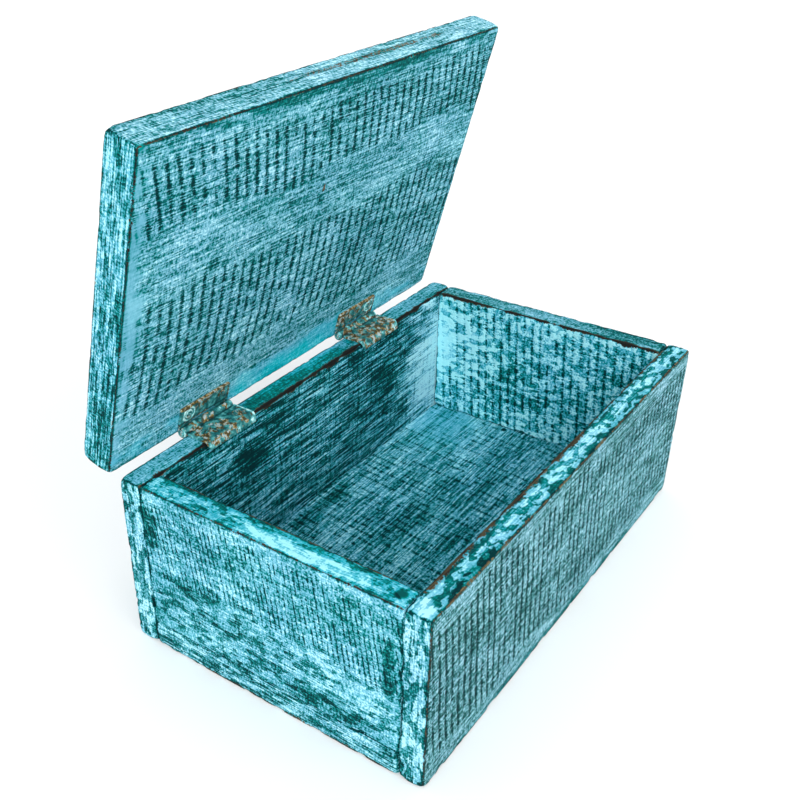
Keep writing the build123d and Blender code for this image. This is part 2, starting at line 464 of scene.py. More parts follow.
faceDefaults = {
    "saw": 0.0,           # depth share of the saw kerfs
    "pitch": 5.3,         # mm from one kerf to the next
    "slant": 0.0,         # how far a kerf leans along the grain for each metre across it
    "bow": 0.0,           # curve of the kerfs, as a round blade leaves them
    "middle": 0.0,        # mm across the grain where the curve is level
    "dash": 4,            # mm of unbroken kerf
    "breaks": 0.3,        # share of a kerf that is missing
    "bands": None,        # ranges in mm across the grain that carry kerfs, None for the whole face
    "weave": 0.35,        # fine rough-sawn texture between the kerfs
    "ridge": 0.25,        # long ridges along the grain
    "coat": 0.0,          # how much light paint the face carries
    "patch": 0.22,        # how much that varies from place to place
    "chips": 0.0,         # hard-edged chips between light paint and base
    "strokes": 1.0,       # long brush strokes along the grain
    "fresh": 0.6,         # strength of the colour, greener above 1
    "calm": 0.0,          # 1 leaves the face without kerfs and strokes
    "depth": 0.28,        # mm of relief in the mesh
    "washes": (),         # soft areas: place, size, and what changes there
}


# Soft area on a face: its middle and reach along and across the grain in mm, and what changes there
def wash(along, across, wide, tall, **changes):
    return {"at": (along * mm, across * mm), "size": (wide * mm, tall * mm), **changes}


# Edge between two faces with worn-off paint and darkening (dark wear, on some edges painted shade):
# width and ends of the worn part in mm
def wornEdge(first, second, width, bare, char, span=None):
    ends = [end * mm for end in span] if span else None
    return {"edge": (first, second), "width": width * mm, "bare": bare, "char": char, "span": ends}


faceCells = {  # mm along, across and through the board of each kind of unevenness
    "warp": (60, 26, 1),
    "stroke": (1000, 1000, 1000),
    "wobble": (26, 60, 1),
    "weave": (1.5, 2.6, 1),
    "ridge": (34, 1.7, 1),
    "patch": (42, 17, 1),
    "smallPatch": (15, 6, 1),
    "ragged": (7, 4, 1),
}


def faceFields(along, across, spec, seed):
    flat = np.stack([along, across, np.zeros_like(along)], -1)

    def uneven(title, places=flat):
        return cellNoise(places, faceCells[title], seed + list(faceCells).index(title))

    warp = uneven("warp")
    off = across - spec["middle"] * mm
    dashLength = spec["dash"] * mm
    phase = (along - spec["slant"] * off - spec["bow"] * off * off) / (spec["pitch"] * mm) + 0.3 * warp
    kerf = (0.5 + 0.5 * np.cos(2 * math.pi * phase)) ** 2.5
    strokes = np.stack([np.floor(phase + 0.5), across / (3 * dashLength), np.zeros_like(along)], -1)
    dash = smooth(uneven("stroke", strokes), spec["breaks"] - 0.2, spec["breaks"] + 0.2)
    band = np.ones_like(along)
    if spec["bands"]:
        wobble = (uneven("wobble") - 0.5) * 12 * mm
        band = sum(window(across + wobble, low * mm, high * mm, 3 * mm) for low, high in spec["bands"])
    patches = 0.65 * uneven("patch") + 0.35 * uneven("smallPatch")
    fields = {title: np.full_like(along, spec[title]) for title in ("saw", "calm", "fresh", "strokes")}
    fields["coat"] = spec["coat"] + spec["patch"] * (patches - 0.5) * 2
    fields["chips"] = np.full_like(along, 2 * spec["chips"])
    fields["bare"] = fields["char"] = np.zeros_like(along)
    for area in spec["washes"]:
        alongShare = (along - area["at"][0]) / area["size"][0]
        acrossShare = (across - area["at"][1]) / area["size"][1]
        reach = np.hypot(alongShare, acrossShare)
        ragged = (uneven("ragged") - 0.5) * area.get("ragged", 0.5)
        mask = 1 - smooth(reach + ragged, 1 - area.get("soft", 0.5), 1.0)
        for title in fields:
            if title in area:
                fields[title] = fields[title] + mask * area[title]
    calm = fields["calm"] = np.clip(fields["calm"], 0, 1)
    fields["phase"] = phase
    fields["dash"] = np.full_like(along, dashLength)
    fields["saw"] = np.clip(fields["saw"], 0, 1) * band * dash * (1 - calm)
    fine = spec["weave"] * smooth(uneven("weave"), 0.5, 0.9)
    fine = fine + spec["ridge"] * smooth(uneven("ridge"), 0.45, 0.9)
    fields["relief"] = 1 - np.clip(fine, 0, 1) * (1 - calm)
    fields["cut"] = spec["depth"] * mm * np.clip(fields["saw"] * kerf + fine * (1 - calm), 0, 1)
    return fields


# Axis number and side of a face written like "-x"
def faceOf(key):
    axis = faceAxes[key[1]]
    side = 1.0 if key[0] == "+" else -1.0
    return axis, side


# How far points lie inside the face of that name
def planeDistance(points, low, high, key):
    axis, side = faceOf(key)
    return high[axis] - points[:, axis] if side > 0 else points[:, axis] - low[axis]


def place(piece, body, slotName, node):
    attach(piece, body)
    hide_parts(node)


# The ends of a board carry brush strokes in their own direction
def paintBoard(piece, face, end):
    piece.data.materials.append(face)
    piece.data.materials.append(end)
    for polygon in piece.data.polygons:
        polygon.material_index = 1 if abs(polygon.normal.x) > 0.75 else 0


# Board with softened arrises, relief in its faces, chips and worn edges
def shapeBoard(name, board, low, high):
    low, high = np.array(low), np.array(high)
    seed = board["seed"]
    lines = [axisLines(low[i], high[i], board["steps"][i] * mm) for i in range(3)]
    points, quads = boxShell(lines)
    near = np.sort(np.minimum(points - low, high - points), axis=1)
    edgeGap, cornerGap = near[:, 1], near[:, 2]
    softened = cellNoise(points, 13, seed) + 0.6 * cellNoise(points, 5, seed + 8)
    radius = np.maximum(board["round"] * mm * (0.35 + softened), board["leastRound"] * mm)
    radius = radius + board["cornerRound"] * mm * (1 - smooth(cornerGap, 0, 5 * mm))
    radius = np.minimum(radius, 0.45 * (high - low).min())[:, None]
    shaped, normal = roundBox(points, low, high, radius)
    titles = ("relief", "coat", "calm", "fresh", "bare", "char", "chips", "strokes", "saw", "cut")
    fields = {title: np.zeros(len(points)) for title in titles}
    ownFields = {title: np.full(len(points), 4 * mm) for title in ("phase", "dash")}
    for number, key in enumerate(("-x", "+x", "-y", "+y", "-z", "+z")):
        axis, side = faceOf(key)
        spec = {**faceDefaults, **board.get(key, {"depth": 0.0})}
        weight = np.clip(normal[:, axis] * side, 0, 1) ** 2
        mask = weight > 1e-4
        others = [i for i in range(3) if i != axis]
        alongAxis = board["grain"] if board["grain"] in others else others[0]
        acrossAxis = others[0] if alongAxis == others[1] else others[1]
        along, across = points[mask, alongAxis], points[mask, acrossAxis]
        found = faceFields(along, across, spec, seed + 20 * number + 20)
        for title in fields:
            fields[title][mask] += weight[mask] * found[title]
        ownFace = weight > 0.5
        for title in ownFields:
            ownFields[title][ownFace] = found[title][ownFace[mask]]
    ragged = cellNoise(points, 6, seed + 9) + 0.5 * cellNoise(points, 2.2, seed + 10)
    chip = smooth(ragged, 0.75, 1.15) * (1 - smooth(edgeGap, 0.3 * mm, 2.4 * mm)) * (board["chip"] * mm)
    shaped = shaped - normal * (fields.pop("cut") + chip)[:, None]
    fields.update(ownFields)
    arris = 1 - smooth(edgeGap, 0.2 * mm, 1.5 * mm)
    fields["coat"] = fields["coat"] - board["arrisTeal"] * arris * smooth(ragged, 0.3, 0.9)
    for worn in board.get("worn", ()):
        first, second = worn["edge"]
        reach = np.maximum(*(planeDistance(points, low, high, key) for key in worn["edge"]))
        third = 3 - faceOf(first)[0] - faceOf(second)[0]
        span = worn["span"] or (low[third], high[third])
        inside = window(points[:, third], span[0], span[1], 4 * mm)
        mask = 1 - smooth(reach + (ragged - 0.75) * worn["width"], 0.35 * worn["width"], worn["width"])
        for title in ("bare", "char"):
            fields[title] = np.maximum(fields[title], mask * inside * worn[title])
    return meshObject(name, shaped, quads, fields)


# Lengths in the board dictionaries are in mm, and a face is named by the side that it looks to
boardDefaults = {
    "round": 0.9,       # usual radius of the arrises
    "leastRound": 0.2,
    "cornerRound": 1.2,
    "chip": 0.5,        # depth of the chips along the arrises
    "arrisTeal": 0.6,   # how much of the light coat the arrises have lost
    "grain": 0,         # axis that the grain follows
}

boardEnd = dict(coat=0.04, weave=0.3, fresh=0.7, patch=0.2, chips=0.24, strokes=0.8)

frontBoard = {
    "seed": 11,
    "round": 0.6,
    "steps": (0.72, 1.3, 1.0),
    "-y": dict(
        saw=0.9, pitch=4.7, slant=-0.11, bands=[(12, 79)], dash=14, breaks=0.1, weave=0.15,
        ridge=0.2, fresh=0.1, patch=0.11, coat=-0.12, strokes=0.9,
        washes=[
            wash(75, 45, 80, 60, saw=-0.35, coat=-0.03, soft=0.8),
            wash(-93, 53, 8, 12, coat=-0.16, soft=0.9),
            wash(-57, 61, 8, 9, coat=-0.14, soft=0.9),
            wash(0, 1, 140, 3.4, coat=-0.2, fresh=0.4),
        ],
    ),
    "+y": dict(saw=0.3, pitch=4.8, coat=-0.12, weave=0.3, ridge=0.5),
    "-z": dict(weave=0.4),
    "+z": dict(
        coat=-0.12, weave=0.1, ridge=0.1, patch=0.12, chips=0.24, fresh=0.9, calm=0.5,
        washes=[
            wash(0, -71, 160, 3.6, coat=0.24, ragged=0.9),
            wash(-96, -75, 24, 4, coat=-0.3),
            # light spot at the front-left corner of the rim: light paint and a painted highlight
            wash(-121.5, -70.6, 6, 5, coat=0.35, calm=0.2),
        ],
    ),
    "-x": boardEnd,
    "+x": dict(weave=0.3, chips=0.1),
    "worn": [
        wornEdge("+z", "+y", 2.6, 1.0, 0.6, (-115, 20)),
        wornEdge("+z", "+y", 1.5, 0.8, 0.5, (20, 127)),
        wornEdge("+z", "-y", 0.9, 0.72, 0.1),
        wornEdge("-x", "-y", 0.8, 0.6, 0.7),
        wornEdge("+x", "-y", 0.8, 0.6, 0.3),
        wornEdge("-z", "-y", 0.8, 0.65, 0.4),
    ],
}

rearBoard = {
    "seed": 12,
    "round": 0.6,
    "steps": (1.15, 1.3, 0.66),
    "-y": dict(
        saw=0.4, pitch=4.2, coat=-0.22, weave=0.2, ridge=0.45, patch=0.26, strokes=1.9, dash=3,
        breaks=0.4, fresh=0.95,
        washes=[
            wash(59, 54, 14, 14, coat=-0.3),
            wash(-57, 63, 16, 10, coat=-0.3),
            wash(116, 45, 46, 80, coat=0.75, calm=0.3, fresh=-0.4, soft=0.9),
            wash(0, 40, 40, 22, coat=0.12, soft=0.8),
        ],
    ),
    "+y": dict(saw=0.7, pitch=5.6, bands=[(12, 76)]),
    "-z": dict(weave=0.4),
    "+z": dict(
        coat=-0.08, weave=0.15, ridge=0.2, patch=0.26, calm=0.25, fresh=0.75,
        washes=[
            wash(0, 75, 150, 2.4, coat=0.12),
            wash(-12, 71, 64, 9, coat=-0.12, fresh=0.5, calm=0.2),
        ],
    ),
    "-x": boardEnd,
    "+x": dict(weave=0.3),
    # The near-black along the inner arris of the rear rim is worn paint and painted shadow.
    "worn": [wornEdge("+z", "-y", 1.9, 1.0, 0.95)],
}

leftEndBoard = {
    "seed": 13,
    "round": 0.6,
    "arrisTeal": 0.4,
    "grain": 1,
    "steps": (1.3, 0.58, 0.8),
    "-x": dict(
        saw=0.8, pitch=2.4, slant=0.15, dash=1.6, bands=[(44, 83)], coat=0.05,
        weave=0.25, ridge=0.2, fresh=0.75, patch=0.2, chips=0.1, strokes=0.4,
        washes=[
            wash(-60, 54, 3.5, 19, coat=-0.35, soft=0.3),
            wash(61, 66, 4, 12, coat=-0.3, soft=0.3),
            wash(40, 44, 20, 7, coat=-0.3),
            wash(-30, 18, 34, 5, coat=-0.3),
            wash(62, 57, 2, 2, coat=-0.5, calm=1.0),
            wash(0, 26, 90, 22, strokes=0.5, coat=-0.08, chips=0.16, ragged=1.0),
        ],
    ),
    "+x": dict(saw=0.5, pitch=4.8, coat=-0.05),
    # Rim top: the greener colour and the light band along its outer edge are light paint and a painted
    # highlight together.
    "+z": dict(
        coat=-0.02, weave=0.1, ridge=0.15, patch=0.18, fresh=1.2, calm=0.35, chips=0.16,
        washes=[
            wash(-20, -123, 38, 4.5, coat=0.5),
            wash(0, -116, 70, 3, coat=-0.25),
            wash(-60, -120.6, 3, 3.4, coat=-0.6, calm=1.0),
        ],
    ),
    "worn": [
        wornEdge("+z", "+x", 1.2, 0.9, 0.5),
        wornEdge("+z", "-x", 0.8, 0.6, 0.8),
    ],
}

rightEndBoard = {
    "seed": 14,
    "round": 0.7,
    "arrisTeal": 0.5,
    "grain": 1,
    "steps": (1.3, 0.62, 0.85),
    "-x": dict(
        saw=0.8, pitch=4.8, slant=0.085, dash=3.5, coat=0.16, weave=0.5, ridge=0.0,
        patch=0.16, chips=0.2, strokes=0.4, fresh=1.1,
        washes=[
            wash(65, 50, 15, 60, coat=0.3, calm=0.7, soft=0.8),
            wash(44, 58, 26, 34, coat=0.26, chips=0.2),
            wash(0, 84, 70, 6, coat=0.2, ragged=0.9),
        ],
    ),
    "+x": dict(saw=0.6, pitch=4.6),
    "+z": dict(coat=-0.14, weave=0.15, ridge=0.2, patch=0.34, calm=0.15),
    "worn": [wornEdge("+z", "-x", 1.8, 1.0, 0.9)],
}

bottomBoard = {
    "seed": 15,
    "round": 0.5,
    "arrisTeal": 0.35,
    "steps": (1.0, 0.78, 1.3),
    "+z": dict(
        saw=0.6, pitch=5.0, slant=0.1, dash=2.5, coat=0.06, weave=0.2, ridge=0.4, patch=0.24,
        breaks=0.4, strokes=1.4, fresh=0.95,
        washes=[
            wash(-10, 57, 30, 4, coat=-0.4),
            wash(100, 50, 50, 34, coat=0.06, calm=0.5, soft=0.8),
            wash(112, 15.7, 2, 2, coat=-0.9, calm=1.0),
        ],
    ),
    "-z": dict(saw=0.4, weave=0.4),
    "-x": dict(coat=-0.06, weave=0.3, fresh=0.7, patch=0.2, chips=0.16, strokes=1.3),
    "+x": dict(weave=0.3, chips=0.1),
    "worn": [wornEdge("-z", "-x", 1.6, 0.7, 0.4)],
}

chestBoards = {
    "front_board": frontBoard,
    "rear_board": rearBoard,
    "left_end_board": leftEndBoard,
    "right_end_board": rightEndBoard,
    "bottom_board": bottomBoard,
}

for nodeName, board in chestBoards.items():
    low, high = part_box(nodeName)
    piece = shapeBoard(nodeName + "_wood", {**boardDefaults, **board}, low, high)
    if board.get("grain") == 1:
        piece.data.materials.append(crossWood)
    else:
        paintBoard(piece, longWood, crossWood if nodeName == "bottom_board" else uprightWood)
    place(piece, "chest", "chest_wood", nodeName)
    print("board", nodeName, len(piece.data.polygons), "faces")


lidFrame = {"lean": 75.0, "low": (-127.2, -149.6, 2.8), "high": (124.8, 1.9, 18.8)}  # degrees and mm
lidTurn = Matrix.Translation(hingeAt) @ Matrix.Rotation(-math.radians(lidFrame["lean"]), 4, "X")

lidBoard = {
    "seed": 16,
    "round": 0.7,
    "leastRound": 0.82,
    "chip": 0.25,
    "steps": (0.78, 1.25, 1.4),
    "-z": dict(
        saw=0.9, pitch=6.15, bow=-2.1, middle=-62, dash=7, breaks=0.12, weave=0.3, ridge=0.2,
        patch=0.15, bands=[(-138, -108), (-80, -26)],
        washes=[
            wash(-6.3, -98.5, 1.6, 2.6, bare=1.0, char=0.2),
            wash(-7, -93, 4, 4, coat=-0.25),
            wash(-78, -85, 6, 4, coat=-0.3),
            wash(0, -148, 125, 4.5, coat=-0.26, calm=0.4, ragged=0.9),
            wash(0, -4, 135, 11, coat=0.16, calm=0.5, fresh=0.6),
            wash(-8, -1, 48, 9, coat=-0.06, fresh=0.4, soft=0.7),
            wash(-127, -80, 12, 90, coat=0.05, calm=0.8, soft=0.6, ragged=0.6),
        ],
    ),
    "+z": dict(saw=0.8, pitch=5.6, weave=0.35),
    "-y": dict(
        weave=0.2, ridge=0.4, patch=0.3, fresh=0.5, chips=0.04, coat=0.06,
        washes=[wash(20, 12, 90, 2, bare=0.45, coat=-0.2)],
    ),
    "+y": dict(weave=0.2, ridge=0.4),
    "-x": dict(
        coat=0.03, weave=0.2, fresh=0.9, chips=0.13, patch=0.3, strokes=1.4,
        washes=[wash(-45, 10, 50, 9, coat=-0.25)],
    ),
    "+x": dict(weave=0.3),
    "worn": [
        wornEdge("-z", "-y", 0.8, 0.75, 0.85),
        wornEdge("-y", "+z", 1.2, 0.6, 0.4),
        wornEdge("-x", "-z", 0.8, 0.6, 0.95),
        wornEdge("-x", "+z", 0.9, 0.6, 0.4),
    ],
}

low, high = (np.array(lidFrame[end]) * mm for end in ("low", "high"))
lidPiece = shapeBoard("lid_board_wood", {**boardDefaults, **lidBoard}, low, high)
lean = math.radians(lidFrame["lean"])
lidPiece.data.transform(lidTurn)
paintBoard(
    lidPiece,
    makePaintedWood("lidLongWood", (lean, 0, 0), woodPaint),
    makePaintedWood("lidCrossWood", (lean, 0, math.pi / 2), woodPaint),
)
place(lidPiece, "lid", "lid_wood", "lid_board")
print("lid", len(lidPiece.data.polygons), "faces")


ironPaint = {
    "ramp": [
        (0.00, 4, 46, 50), (0.34, 22, 104, 106), (0.58, 66, 146, 146), (0.80, 128, 204, 208),
        (1.00, 196, 240, 238),
    ],
    "rust": paint(150, 122, 52),
    "brown": paint(66, 58, 34),
    "metal": paint(164, 184, 186),
    "paintScale": 380.0,
    "rustScale": 260.0,
    "metalScale": 480.0,
    "roughness": 0.42,
    "gloss": 0.35,
    "bump": 0.6,
    "bumpDepth": 0.0003,
}


# Noise spread over the whole range from 0 to 1
def stretched(tree, value):
    return softMask(tree, value, 0.3, 0.7)


def makePaintedIron(name, values):
    material, tree = emptyMaterial(name)
    coords = addNode(tree, "ShaderNodeTexCoord").outputs["Object"]
    # Where this value is high the paint is lighter and less rusty: thick edge paint, plus painted
    # highlights on hinge leaves and screws. Below zero it is darker: painted shade next to the barrel.
    rim = attributeValue(tree, "rim")
    thickness = softMask(tree, noiseField(tree, coords, values["paintScale"], 3.0, 0.6), 0.28, 0.72)
    tone = scaled(tree, thickness, 0.7, scaled(tree, rim, 0.55, 0.02))
    coats = colourRamp(tree, tone, values["ramp"])
    breakup = noiseField(tree, coords, values["rustScale"], 4.0, 0.65)
    wear = scaled(tree, rim, -0.25, attributeValue(tree, "rust"))
    settings = {"Wear": wear, "Breakup": stretched(tree, breakup), "Softness": 0.06}
    bare = placeGroup(tree, wearGroup, settings)["Bare"]
    scale = stretched(tree, noiseField(tree, coords, values["metalScale"], 3.0, 0.6))
    rust = blendColour(tree, softMask(tree, scale, 0.3, 0.6), values["brown"], values["rust"])
    rust = blendColour(tree, softMask(tree, scale, 0.6, 0.76), rust, values["metal"])
    colour = blendColour(tree, bare, coats, rust)
    height = scaled(tree, bare, -0.7, scaled(tree, thickness, 0.4, 0.6))
    height = scaled(tree, scale, 0.25, height)
    rough = scaled(tree, bare, 0.15, values["roughness"])
    addSurface(tree, values, colour, rough, height)
    return material


hingeIron = makePaintedIron("hingeIron", ironPaint)
screwIron = makePaintedIron("screwIron", {**ironPaint, "paintScale": 900.0})
nailIron = makePaintedIron("nailIron", {**ironPaint, "bump": 0.3, "rustScale": 900.0})
chestTurn = Matrix.Translation(hingeAt)
print("iron materials made")


hingeSetup = {
    "centres": {"left": -69.0 * mm, "right": 51.5 * mm},
    "length": 33 * mm,
    "step": 0.27 * mm,
    "edgeRound": 0.3 * mm,
    "cornerRound": 1.5 * mm,
    "knuckle": 2.4 * mm,
    "bore": 1.16 * mm,
    "outerKnuckle": 8.2 * mm,
    "gap": 0.35 * mm,
    "screwSpread": 11 * mm,
    "seat": 2.5 * mm,      # radius of the dimple around a screw head
    "seatEdge": (0.85, 1.15),  # where its edge lies, in shares of that radius
    "collarRing": (1.2, 1.6),
    "seatDepth": 0.3 * mm,
    "collar": 0.42 * mm,   # paint heaped around the screws that stand out
    "bead": 0.16 * mm,     # paint built up along the edges
    "uneven": 0.12 * mm,
    "curlSteps": 57,
    "curlRound": 0.22 * mm,
    "curlStep": 0.4 * mm,
}
leafKinds = {
    "chest": {
        "turn": chestTurn,
        "body": "chest",
        "outer": 1,            # the painted side faces +Z of the hinge frame
        "low": -0.2 * mm,
        "high": 0.9 * mm,
        "reach": 16.9 * mm,
        "lip": 2.1 * mm,
        "lipDrop": 3.4 * mm,
        "web": 1.3 * mm,
        "screwReach": 9.3 * mm,
        "curl": (168, -164),  # degrees around the pin, from over the plate to the seam
        "rust": {"left": 0.44, "right": 0.56},
        "rings": {"left": (0.0, 0.0), "right": (0.0, 0.0)},  # which screws have a light rim: light paint and a painted highlight
        "rim": 1.0,
    },
    "lid": {
        "turn": lidTurn,
        "body": "lid",
        "outer": -1,
        "low": 1.7 * mm,
        "high": 2.8 * mm,
        "reach": 12.4 * mm,
        "lip": 0.0,
        "lipDrop": 0.0,
        "web": 0.0,
        "screwReach": 7.7 * mm,
        "curl": (96, -196),
        "rust": {"left": 0.4, "right": 0.52},
        "rings": {"left": (1.0, 0.0), "right": (0.0, 1.0)},
        "rim": 0.15,
    },
}


# Joins shells, each of points, faces and fields, into one
def joinShells(shells):
    points, faces, fields = [], [], {}
    start = 0
    for shellPoints, shellFaces, shellFields in shells:
        points.append(shellPoints)
        faces.extend([[index + start for index in face] for face in shellFaces])
        for title, values in shellFields.items():
            fields.setdefault(title, []).append(values)
        start += len(shellPoints)
    fields = {title: np.concatenate(values) for title, values in fields.items()}
    return np.concatenate(points), faces, fields


# Plate with rounded edges, with close grid lines over its faces and few through its thickness
def plateShell(low, high, step, rounded):
    lines = []
    for axis in range(3):
        near = np.array([0, 0.4, 1.0]) * rounded
        middle = np.linspace(low[axis] + 1.6 * rounded, high[axis] - 1.6 * rounded, 3)
        if axis < 2:
            count = max(3, round((high[axis] - low[axis]) / step))
            middle = np.linspace(low[axis] + 1.6 * rounded, high[axis] - 1.6 * rounded, count)
        elif high[axis] - low[axis] < 4 * rounded:
            middle = np.array([(low[axis] + high[axis]) / 2])
        lines.append(np.concatenate([low[axis] + near, middle, (high[axis] - near)[::-1]]))
    points, quads = boxShell(lines)
    shaped, normal = roundBox(points, low, high, rounded)
    return shaped, quads, normal


# Moves points at the two free corners of a plate from a square corner to a round one
def roundFreeCorners(points, low, high, radius):
    for side in (-1, 1):
        edge = high[0] if side > 0 else low[0]
        centre = np.array([edge - side * radius, low[1] + radius])
        offset = points[:, :2] - centre
        inside = (offset[:, 0] * side > 0) & (offset[:, 1] < 0)
        longest = np.abs(offset[inside]).max(axis=1)
        length = np.maximum(np.linalg.norm(offset[inside], axis=1), 1e-9)
        points[inside, :2] = centre + offset[inside] * (longest / length)[:, None]


# Quads between closed rings of points that follow each other
def ringFaces(rings, around):
    faces = []
    for ring, i in itertools.product(range(rings - 1), range(around)):
        a, b = ring * around + i, ring * around + (i + 1) % around
        faces.append((a, b, b + around, a + around))
    return faces


# Sheet curled around the pin between two places along it, from one angle to another
def knuckleShell(start, stop, values, curl, seed):
    angles = np.radians(np.linspace(*curl, values["curlSteps"]))
    rounding = values["curlRound"]
    near = np.array([0, 0.35, 1.0]) * rounding
    count = max(6, round((stop - start) / values["curlStep"]))
    middle = np.linspace(start + 1.8 * rounding, stop - 1.8 * rounding, count)
    places = np.concatenate([start + near, middle, (stop - near)[::-1]])
    rows = []
    for place in places:
        inset = rounding - min(place - start, stop - place, rounding)
        inset = rounding - math.sqrt(rounding * rounding - inset * inset)
        outer, bore = values["knuckle"] - inset, values["bore"] + inset
        outline = [(outer, a) for a in angles] + [(bore, a) for a in angles[::-1]]
        rows.append([(place, r * math.cos(a), r * math.sin(a)) for r, a in outline])
    around = len(rows[0])
    points = np.array(rows).reshape(-1, 3)
    faces = ringFaces(len(places), around)
    last = (len(places) - 1) * around
    for i in range(len(angles) - 1):
        first = (i, around - 1 - i, around - 2 - i, i + 1)
        faces.append(first)
        faces.append(tuple(last + index for index in first[::-1]))
    reach = np.hypot(points[:, 1], points[:, 2])
    uneven = (cellNoise(points, 1.6, seed) - 0.6) * values["uneven"]
    swell = 1 + uneven * smooth(reach, values["bore"] * 1.3, values["knuckle"]) / reach
    points[:, 1:] *= swell[:, None]
    ends = 1 - smooth(np.minimum(points[:, 0] - start, stop - points[:, 0]), 0, 1.1 * mm)
    return points, faces, ends


# Hinge leaf: a plate with dimples for its screws, and its knuckles with the webs that join them to it
def makeLeaf(name, hingeSide, kind, values, seed):
    hingeX = values["centres"][hingeSide]
    rust = kind["rust"][hingeSide]
    half = values["length"] / 2
    if kind["body"] == "chest":
        middleHalf = half - values["outerKnuckle"] - values["gap"]
        spans = [(hingeX - middleHalf, hingeX + middleHalf)]
    else:
        spans = [(hingeX - half, hingeX - half + values["outerKnuckle"])]
        spans.append((hingeX + half - values["outerKnuckle"], hingeX + half))
    rear = -values["knuckle"] - values["gap"]
    low = np.array([hingeX - half, -kind["reach"], kind["low"]])
    high = np.array([hingeX + half, rear, kind["high"]])
    points, faces, normal = plateShell(low, high, values["step"], values["edgeRound"])
    sides = np.minimum(points[:, 0] - low[0], high[0] - points[:, 0])
    free = points[:, 1] - low[1]
    edge = np.minimum(sides, free)
    roundFreeCorners(points, low, high, values["cornerRound"])
    facing = np.clip(normal[:, 2] * kind["outer"], 0, 1)
    wobble = cellNoise(points, 2.4, seed) + 0.5 * cellNoise(points, 0.9, seed + 1)
    lift = values["uneven"] * (wobble - 0.9) + values["bead"] * (1 - smooth(edge, 0.3 * mm, 1.2 * mm))
    collar = np.zeros(len(points))
    for side, ring in zip((-1, 1), kind["rings"][hingeSide]):
        screwX = hingeX + side * values["screwSpread"]
        seat = np.hypot(points[:, 0] - screwX, points[:, 1] + kind["screwReach"])
        seatStart, seatEnd = (share * values["seat"] for share in values["seatEdge"])
        ringStart, ringEnd = (share * values["seat"] for share in values["collarRing"])
        lift -= values["seatDepth"] * (1 - smooth(seat, seatStart, seatEnd))
        collar += ring * window(seat, ringStart, ringEnd, 0.3 * mm)
    lift += values["collar"] * collar
    points[:, 2] += kind["outer"] * facing * lift
    if kind["lip"]:
        share = np.clip((kind["lip"] - (points[:, 1] - low[1])) / kind["lip"], 0, 1)
        points[:, 2] -= kind["lipDrop"] * share ** 1.3
    rimmed = (1 - smooth(edge + (wobble - 0.8) * 1.0 * mm, 0.5 * mm, 1.5 * mm)) * kind["rim"]
    # Lighter towards the right end: thick paint on the edge and a painted highlight on the right
    # corner.
    rimmed = rimmed * (0.35 + 0.65 * smooth(points[:, 0], high[0] - 8 * mm, high[0] - 2 * mm))
    # Lighter on the raised rings round the standing screws: light paint and a painted highlight. Darker
    # on the strip next to the barrel: painted shade where the leaf meets the knuckles.
    rimmed = rimmed + collar * facing - 0.9 * smooth(points[:, 1], rear - 1.6 * mm, rear - 0.4 * mm)
    ownRust = rust + 0.25 * (cellNoise(points, (7, 4, 4), seed + 2) - 0.5)
    ownRust = ownRust - 0.2 * smooth(points[:, 1], -9 * mm, -3 * mm)
    if kind["body"] == "lid":
        ownRust = ownRust + 0.6 * (1 - smooth(free, 0.4 * mm, 1.6 * mm))
    shells = [(points, faces, {"rim": rimmed, "rust": ownRust})]
    for number, (start, stop) in enumerate(spans):
        points, faces, ends = knuckleShell(start, stop, values, kind["curl"], seed + 10 + number)
        fields = {"rim": 0.5 * ends, "rust": 0.42 + 0.3 * (cellNoise(points, 2.5, seed + 3) - 0.5)}
        shells.append((points, faces, fields))
        corner = np.array([start, rear - 0.6 * mm, kind["low"]]) + 0.02 * mm
        top = min(kind["high"], values["knuckle"] - 0.15 * mm)
        far = np.array([stop, -kind["web"], top]) - 0.02 * mm
        points, faces, normal = plateShell(corner, far, values["step"], 0.2 * mm)
        flat = np.zeros(len(points))
        shells.append((points, faces, {"rim": flat, "rust": flat + rust}))
    points, faces, fields = joinShells(shells)
    leaf = meshObject(name, points, faces, fields)
    leaf.matrix_world = kind["turn"]
    leaf.data.materials.append(hingeIron)
    return leaf


for number, side in enumerate(hingeSetup["centres"]):
    for kindName, kind in leafKinds.items():
        nodeName = side + "_hinge_" + kindName + "_leaf"
        seed = 40 + 20 * number + len(kindName)
        leaf = makeLeaf(nodeName + "_iron", side, kind, hingeSetup, seed)
        place(leaf, kind["body"], "hinge_iron", nodeName)
print("hinge leaves made")


# Turned piece: radius and height pairs from one end to the other, spun around Z
def turnedShell(profile, around=40):
    angles = np.linspace(0, 2 * math.pi, around, endpoint=False)
    rings = [[(r * math.cos(a), r * math.sin(a), z) for a in angles] for r, z in profile]
    points = np.array(rings).reshape(-1, 3)
    faces = ringFaces(len(profile), around)
    faces.append(tuple(range(around))[::-1])
    faces.append(tuple(range(len(points) - around, len(points))))
    return points, faces


pinSetup = {
    "radius": 1.1 * mm,
    "headRadius": 1.7 * mm,
    "head": 0.6 * mm,
    "clear": 0.06 * mm,  # between the head and the barrel's end
    "rust": 0.5,
}


